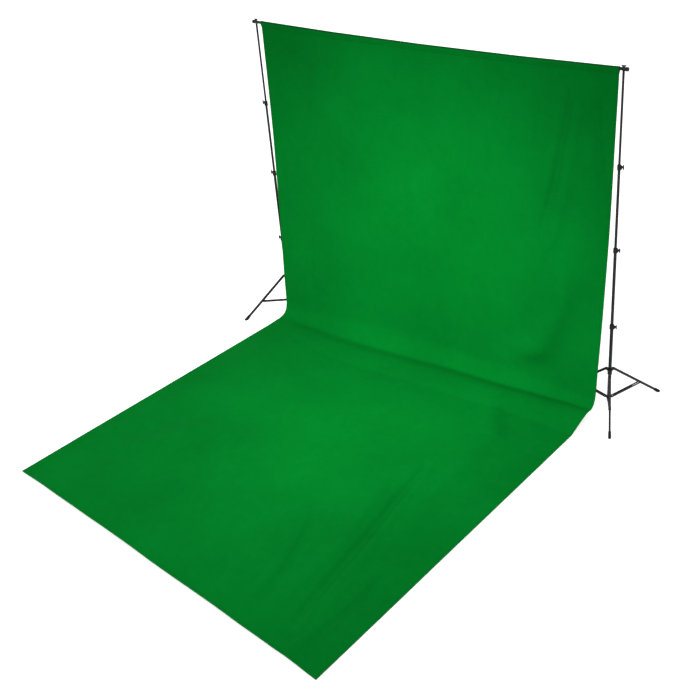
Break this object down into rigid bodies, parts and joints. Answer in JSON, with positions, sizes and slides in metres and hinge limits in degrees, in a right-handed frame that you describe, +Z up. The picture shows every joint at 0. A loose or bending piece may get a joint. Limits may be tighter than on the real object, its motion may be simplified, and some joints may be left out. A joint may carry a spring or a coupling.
{
  "type": "background support system",
  "caption": "Background support: two folding telescopic stands carry a plug-together crossbar, from which a long green cloth hangs and sweeps forward over the floor.",
  "frame": {"origin": "middle of the footprint, on the floor", "axes": "+X along the crossbar to the viewer's right, +Y from the cloth's front edge back to the stands, +Z up"},
  "size_m": [3.7022, 3.7154, 2.5272],
  "materials": {
    "black_tube": "satin",
    "black_plastic": "matte",
    "black_rubber": "matte",
    "black_steel": "satin",
    "bare_steel": "satin",
    "green_cloth": "matte"
  },
  "bodies": {
    "root": {"left_base_tube": "black_tube", "left_bottom_plug": "black_plastic", "left_lower_collar": "black_plastic", "left_lower_clamp": "black_plastic", "right_base_tube": "black_tube", "right_bottom_plug": "black_plastic", "right_lower_collar": "black_plastic", "right_lower_clamp": "black_plastic", "backdrop_floor": "green_cloth", "backdrop_drop": "green_cloth"},
    "left_lower_riser": {"left_lower_riser": "black_tube", "left_middle_clamp": "black_plastic"},
    "left_middle_riser": {"left_middle_riser": "black_tube", "left_upper_clamp": "black_plastic"},
    "left_upper_riser": {"left_upper_riser": "black_tube", "crossbar_section_1": "black_tube", "crossbar_section_2": "black_tube", "crossbar_section_3": "black_tube", "crossbar_section_4": "black_tube", "left_bar_cap": "black_plastic", "right_bar_cap": "black_plastic", "backdrop_pocket": "green_cloth"},
    "left_collar": {"left_upper_collar": "black_plastic"},
    "left_leg_1": {"left_leg_1": "black_tube", "left_foot_1": "black_rubber"},
    "left_brace_1": {"left_brace_1": "black_tube"},
    "left_leg_2": {"left_leg_2": "black_tube", "left_foot_2": "black_rubber"},
    "left_brace_2": {"left_brace_2": "black_tube"},
    "left_leg_3": {"left_leg_3": "black_tube", "left_foot_3": "black_rubber"},
    "left_brace_3": {"left_brace_3": "black_tube"},
    "left_lower_knob": {"left_lower_knob": "black_plastic"},
    "left_middle_knob": {"left_middle_knob": "black_plastic"},
    "left_upper_knob": {"left_upper_knob": "black_plastic"},
    "left_collar_knob": {"left_collar_knob": "black_plastic"},
    "left_wing_nut": {"left_wing_nut": "black_steel"},
    "right_lower_riser": {"right_lower_riser": "black_tube", "right_middle_clamp": "black_plastic"},
    "right_middle_riser": {"right_middle_riser": "black_tube", "right_upper_clamp": "black_plastic"},
    "right_upper_riser": {"right_upper_riser": "black_tube"},
    "right_collar": {"right_upper_collar": "black_plastic"},
    "right_leg_1": {"right_leg_1": "black_tube", "right_foot_1": "black_rubber"},
    "right_brace_1": {"right_brace_1": "black_tube"},
    "right_leg_2": {"right_leg_2": "black_tube", "right_foot_2": "black_rubber"},
    "right_brace_2": {"right_brace_2": "black_tube"},
    "right_leg_3": {"right_leg_3": "black_tube", "right_foot_3": "black_rubber"},
    "right_brace_3": {"right_brace_3": "black_tube"},
    "right_lower_knob": {"right_lower_knob": "black_plastic"},
    "right_middle_knob": {"right_middle_knob": "black_plastic"},
    "right_upper_knob": {"right_upper_knob": "black_plastic"},
    "right_collar_knob": {"right_collar_knob": "black_plastic"},
    "right_wing_nut": {"right_wing_nut": "black_steel"},
    "snap_button_1": {"snap_button_1": "bare_steel"},
    "snap_button_2": {"snap_button_2": "bare_steel"},
    "snap_button_3": {"snap_button_3": "bare_steel"}
  },
  "joints": [
    {"name": "left_lower_riser_slide", "type": "slide", "parent": "root", "child": "left_lower_riser", "axis": [0, 0, 1], "range_m": [-0.53, 0], "deforming": ["backdrop_drop"]},
    {"name": "left_middle_riser_slide", "type": "slide", "parent": "left_lower_riser", "child": "left_middle_riser", "axis": [0, 0, 1], "range_m": [-0.53, 0], "deforming": ["backdrop_drop"]},
    {"name": "left_upper_riser_slide", "type": "slide", "parent": "left_middle_riser", "child": "left_upper_riser", "axis": [0, 0, 1], "range_m": [-0.53, 0], "deforming": ["backdrop_drop"]},
    {"name": "left_collar_slide", "type": "slide", "parent": "root", "child": "left_collar", "axis": [0, 0, 1], "range_m": [0, 0.297]},
    {"name": "left_leg_1_hinge", "type": "hinge", "parent": "left_collar", "child": "left_leg_1", "pos_m": [-1.57587, 1.43267, 0.312], "axis": [0.9272, -0.3746, 0], "range_deg": [0, 44.92]},
    {"name": "left_brace_1_hinge", "type": "hinge", "parent": "root", "child": "left_brace_1", "pos_m": [-1.5725, 1.44102, 0.076], "axis": [-0.9272, 0.3746, 0], "range_deg": [0, 65.34]},
    {"name": "left_leg_2_hinge", "type": "hinge", "parent": "left_collar", "child": "left_leg_2", "pos_m": [-1.58383, 1.48927, 0.312], "axis": [-0.788, -0.6157, 0], "range_deg": [0, 44.92]},
    {"name": "left_brace_2_hinge", "type": "hinge", "parent": "root", "child": "left_brace_2", "pos_m": [-1.57829, 1.48218, 0.076], "axis": [0.788, 0.6157, 0], "range_deg": [0, 65.34]},
    {"name": "left_leg_3_hinge", "type": "hinge", "parent": "left_collar", "child": "left_leg_3", "pos_m": [-1.53083, 1.46786, 0.312], "axis": [-0.1392, 0.9903, 0], "range_deg": [0, 44.92]},
    {"name": "left_brace_3_hinge", "type": "hinge", "parent": "root", "child": "left_brace_3", "pos_m": [-1.53974, 1.46661, 0.076], "axis": [0.1392, -0.9903, 0], "range_deg": [0, 65.34]},
    {"name": "left_lower_knob_turn", "type": "hinge", "parent": "root", "child": "left_lower_knob", "pos_m": [-1.59351, 1.46327, 0.669], "axis": [-1, 0, 0], "range_deg": [0, 270]},
    {"name": "left_middle_knob_turn", "type": "hinge", "parent": "left_lower_riser", "child": "left_middle_knob", "pos_m": [-1.59351, 1.46327, 1.262], "axis": [-1, 0, 0], "range_deg": [0, 270]},
    {"name": "left_upper_knob_turn", "type": "hinge", "parent": "left_middle_riser", "child": "left_upper_knob", "pos_m": [-1.59351, 1.46327, 1.858], "axis": [-1, 0, 0], "range_deg": [0, 270]},
    {"name": "left_collar_knob_turn", "type": "hinge", "parent": "left_collar", "child": "left_collar_knob", "pos_m": [-1.54504, 1.43963, 0.288], "axis": [0.6157, -0.788, 0], "range_deg": [0, 270]},
    {"name": "left_wing_nut_turn", "type": "hinge", "parent": "left_upper_riser", "child": "left_wing_nut", "pos_m": [-1.56351, 1.46327, 2.515], "axis": [0, 0, 1], "range_deg": [0, 270]},
    {"name": "right_lower_riser_slide", "type": "slide", "parent": "root", "child": "right_lower_riser", "axis": [0, 0, 1], "range_m": [-0.53, 0]},
    {"name": "right_middle_riser_slide", "type": "slide", "parent": "right_lower_riser", "child": "right_middle_riser", "axis": [0, 0, 1], "range_m": [-0.53, 0]},
    {"name": "right_upper_riser_slide", "type": "slide", "parent": "right_middle_riser", "child": "right_upper_riser", "axis": [0, 0, 1], "range_m": [-0.53, 0]},
    {"name": "right_collar_slide", "type": "slide", "parent": "root", "child": "right_collar", "axis": [0, 0, 1], "range_m": [0, 0.297]},
    {"name": "right_leg_1_hinge", "type": "hinge", "parent": "right_collar", "child": "right_leg_1", "pos_m": [1.62549, 1.49156, 0.312], "axis": [-0.8572, 0.515, 0], "range_deg": [0, 44.92]},
    {"name": "right_brace_1_hinge", "type": "hinge", "parent": "root", "child": "right_brace_1", "pos_m": [1.62085, 1.48384, 0.076], "axis": [0.8572, -0.515, 0], "range_deg": [0, 65.34]},
    {"name": "right_leg_2_hinge", "type": "hinge", "parent": "right_collar", "child": "right_leg_2", "pos_m": [1.62449, 1.43441, 0.312], "axis": [0.8746, 0.4848, 0], "range_deg": [0, 44.92]},
    {"name": "right_brace_2_hinge", "type": "hinge", "parent": "root", "child": "right_brace_2", "pos_m": [1.62013, 1.44228, 0.076], "axis": [-0.8746, -0.4848, 0], "range_deg": [0, 65.34]},
    {"name": "right_leg_3_hinge", "type": "hinge", "parent": "right_collar", "child": "right_leg_3", "pos_m": [1.5755, 1.46385, 0.312], "axis": [-0.0174, -0.9998, 0], "range_deg": [0, 44.92]},
    {"name": "right_brace_3_hinge", "type": "hinge", "parent": "root", "child": "right_brace_3", "pos_m": [1.58449, 1.46369, 0.076], "axis": [0.0174, 0.9998, 0], "range_deg": [0, 65.34]},
    {"name": "right_lower_knob_turn", "type": "hinge", "parent": "root", "child": "right_lower_knob", "pos_m": [1.63849, 1.46327, 0.669], "axis": [1, 0, 0], "range_deg": [0, 270]},
    {"name": "right_middle_knob_turn", "type": "hinge", "parent": "right_lower_riser", "child": "right_middle_knob", "pos_m": [1.63849, 1.46327, 1.262], "axis": [1, 0, 0], "range_deg": [0, 270]},
    {"name": "right_upper_knob_turn", "type": "hinge", "parent": "right_middle_riser", "child": "right_upper_knob", "pos_m": [1.63849, 1.46327, 1.858], "axis": [1, 0, 0], "range_deg": [0, 270]},
    {"name": "right_collar_knob_turn", "type": "hinge", "parent": "right_collar", "child": "right_collar_knob", "pos_m": [1.59395, 1.48951, 0.288], "axis": [-0.4848, 0.8746, 0], "range_deg": [0, 270]},
    {"name": "right_wing_nut_turn", "type": "hinge", "parent": "right_upper_riser", "child": "right_wing_nut", "pos_m": [1.60849, 1.46327, 2.515], "axis": [0, 0, 1], "range_deg": [0, 270]},
    {"name": "snap_button_1_press", "type": "slide", "parent": "left_upper_riser", "child": "snap_button_1", "axis": [0, -1, 0], "range_m": [0, 0.003], "stiffness_N_per_m": 600},
    {"name": "snap_button_2_press", "type": "slide", "parent": "left_upper_riser", "child": "snap_button_2", "axis": [0, -1, 0], "range_m": [0, 0.003], "stiffness_N_per_m": 600},
    {"name": "snap_button_3_press", "type": "slide", "parent": "left_upper_riser", "child": "snap_button_3", "axis": [0, -1, 0], "range_m": [0, 0.003], "stiffness_N_per_m": 600}
  ],
  "couplings": [
    {"joint": "left_leg_1_hinge", "follows": "left_collar_slide", "rad_per_m": 2.6391},
    {"joint": "left_brace_1_hinge", "follows": "left_collar_slide", "rad_per_m": 3.839},
    {"joint": "left_leg_2_hinge", "follows": "left_collar_slide", "rad_per_m": 2.6391},
    {"joint": "left_brace_2_hinge", "follows": "left_collar_slide", "rad_per_m": 3.839},
    {"joint": "left_leg_3_hinge", "follows": "left_collar_slide", "rad_per_m": 2.6391},
    {"joint": "left_brace_3_hinge", "follows": "left_collar_slide", "rad_per_m": 3.839},
    {"joint": "right_lower_riser_slide", "follows": "left_lower_riser_slide", "ratio": 1},
    {"joint": "right_middle_riser_slide", "follows": "left_middle_riser_slide", "ratio": 1},
    {"joint": "right_upper_riser_slide", "follows": "left_upper_riser_slide", "ratio": 1},
    {"joint": "right_leg_1_hinge", "follows": "right_collar_slide", "rad_per_m": 2.6391},
    {"joint": "right_brace_1_hinge", "follows": "right_collar_slide", "rad_per_m": 3.839},
    {"joint": "right_leg_2_hinge", "follows": "right_collar_slide", "rad_per_m": 2.6391},
    {"joint": "right_brace_2_hinge", "follows": "right_collar_slide", "rad_per_m": 3.839},
    {"joint": "right_leg_3_hinge", "follows": "right_collar_slide", "rad_per_m": 2.6391},
    {"joint": "right_brace_3_hinge", "follows": "right_collar_slide", "rad_per_m": 3.839}
  ]
}
